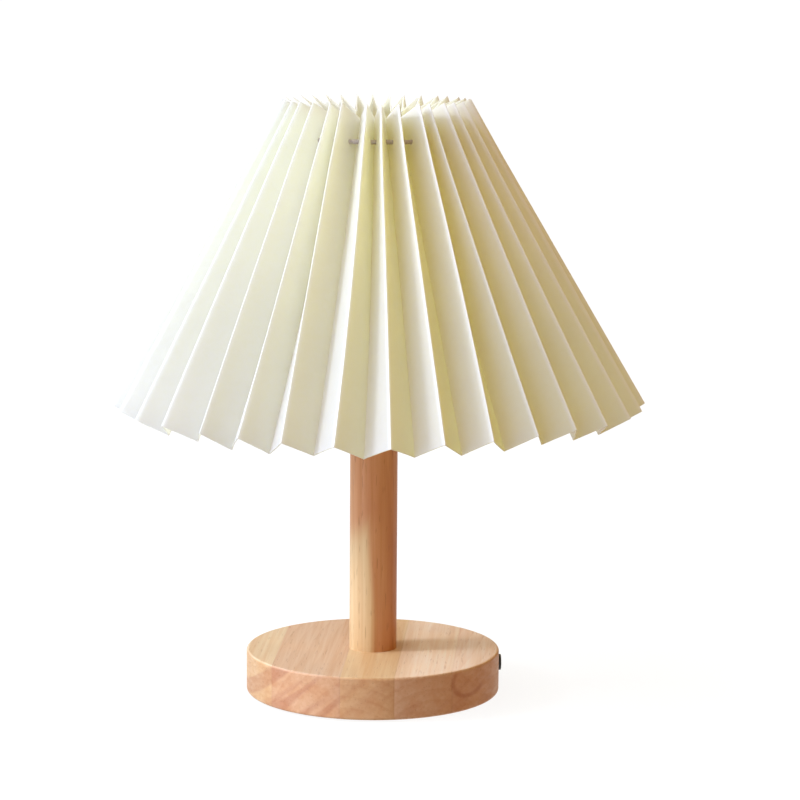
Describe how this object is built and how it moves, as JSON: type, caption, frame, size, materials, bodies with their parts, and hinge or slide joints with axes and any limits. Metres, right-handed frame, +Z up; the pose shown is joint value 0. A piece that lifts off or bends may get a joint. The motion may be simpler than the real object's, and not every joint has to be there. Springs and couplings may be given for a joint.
{
  "type": "bedside lamp",
  "caption": "Bedside lamp: a pleated cone shade of translucent film rests on a wire frame over a turned wooden stem and a round wooden base, with a screw-in globe bulb.",
  "frame": {"origin": "middle of the underside, at the level of the foot pads' soles", "axes": "+Z up along the stem, -Y towards the front of the lamp, +X to the viewer's right; the flex enters at the right-hand side of the base"},
  "size_m": [0.2492, 0.2492, 0.281],
  "materials": {
    "base_wood": "edge-glued light hardwood, thin satin oil",
    "stem_wood": "turned light hardwood dowel, thin satin oil",
    "shade_film": "cream translucent film, satin, sharply pleated",
    "cord_yarn": "braided draw cord",
    "black_plastic": "fine moulded texture",
    "white_plastic": "smooth moulding",
    "core_plastic": "heat-proof moulding",
    "board_white": "white solder mask with chips",
    "foot_rubber": "fine-cell foam rubber",
    "zinc": "zinc plated",
    "white_wire": "white powder coat",
    "brass": "plain stamped brass",
    "nickel": "nickel plated",
    "opal": "opal, satin",
    "brown_insulation": "soft wire insulation",
    "blue_insulation": "soft wire insulation"
  },
  "bodies": {
    "stand": {"base": "base_wood", "base_cover": "black_plastic", "cover_screws": "zinc", "foot_pads": "foot_rubber", "cord_bush": "black_plastic", "cord_clamp": "white_plastic", "clamp_screws": "zinc", "terminal_block": "white_plastic", "terminal_barrels": "brass", "block_screw": "zinc", "stem": "stem_wood", "lamp_tube": "zinc", "tube_washer": "zinc", "tube_nut": "zinc", "seat_washer": "zinc", "live_lead": "brown_insulation", "neutral_lead": "blue_insulation", "holder_cap": "white_plastic", "holder_core": "core_plastic", "core_terminals": "brass", "centre_contact": "brass", "thread_sleeve": "brass", "holder_skirt": "white_plastic", "shade_ring": "white_plastic", "frame_collar": "white_wire", "frame_arms": "white_wire", "frame_ring": "white_wire"},
    "shade_lifter": {"draw_cord": "cord_yarn"},
    "shade": {"pleated_shade": "shade_film", "cord_knot": "cord_yarn"},
    "bulb_tip": {"bulb_contact": "nickel"},
    "bulb": {"bulb_globe": "opal", "bulb_housing": "white_plastic", "led_board": "board_white", "bulb_cap": "nickel", "bulb_insulator": "black_plastic"}
  },
  "joints": [
    {"name": "shade_lift", "type": "slide", "parent": "stand", "child": "shade_lifter", "axis": [0, 0, 1], "range_m": [0, 0.16]},
    {"name": "shade_turn", "type": "hinge", "parent": "shade_lifter", "child": "shade", "pos_m": [0, 0, 0.264], "axis": [0, 0, 1], "continuous": true},
    {"name": "bulb_rise", "type": "slide", "parent": "stand", "child": "bulb_tip", "axis": [0, 0, 1], "range_m": [0, 0.0182]},
    {"name": "bulb_turn", "type": "hinge", "parent": "bulb_tip", "child": "bulb", "pos_m": [0, 0, 0.209], "axis": [0, 0, 1], "range_deg": [0, 1800]}
  ],
  "couplings": [
    {"joint": "bulb_rise", "follows": "bulb_turn", "m_per_rad": 0.00057751}
  ]
}
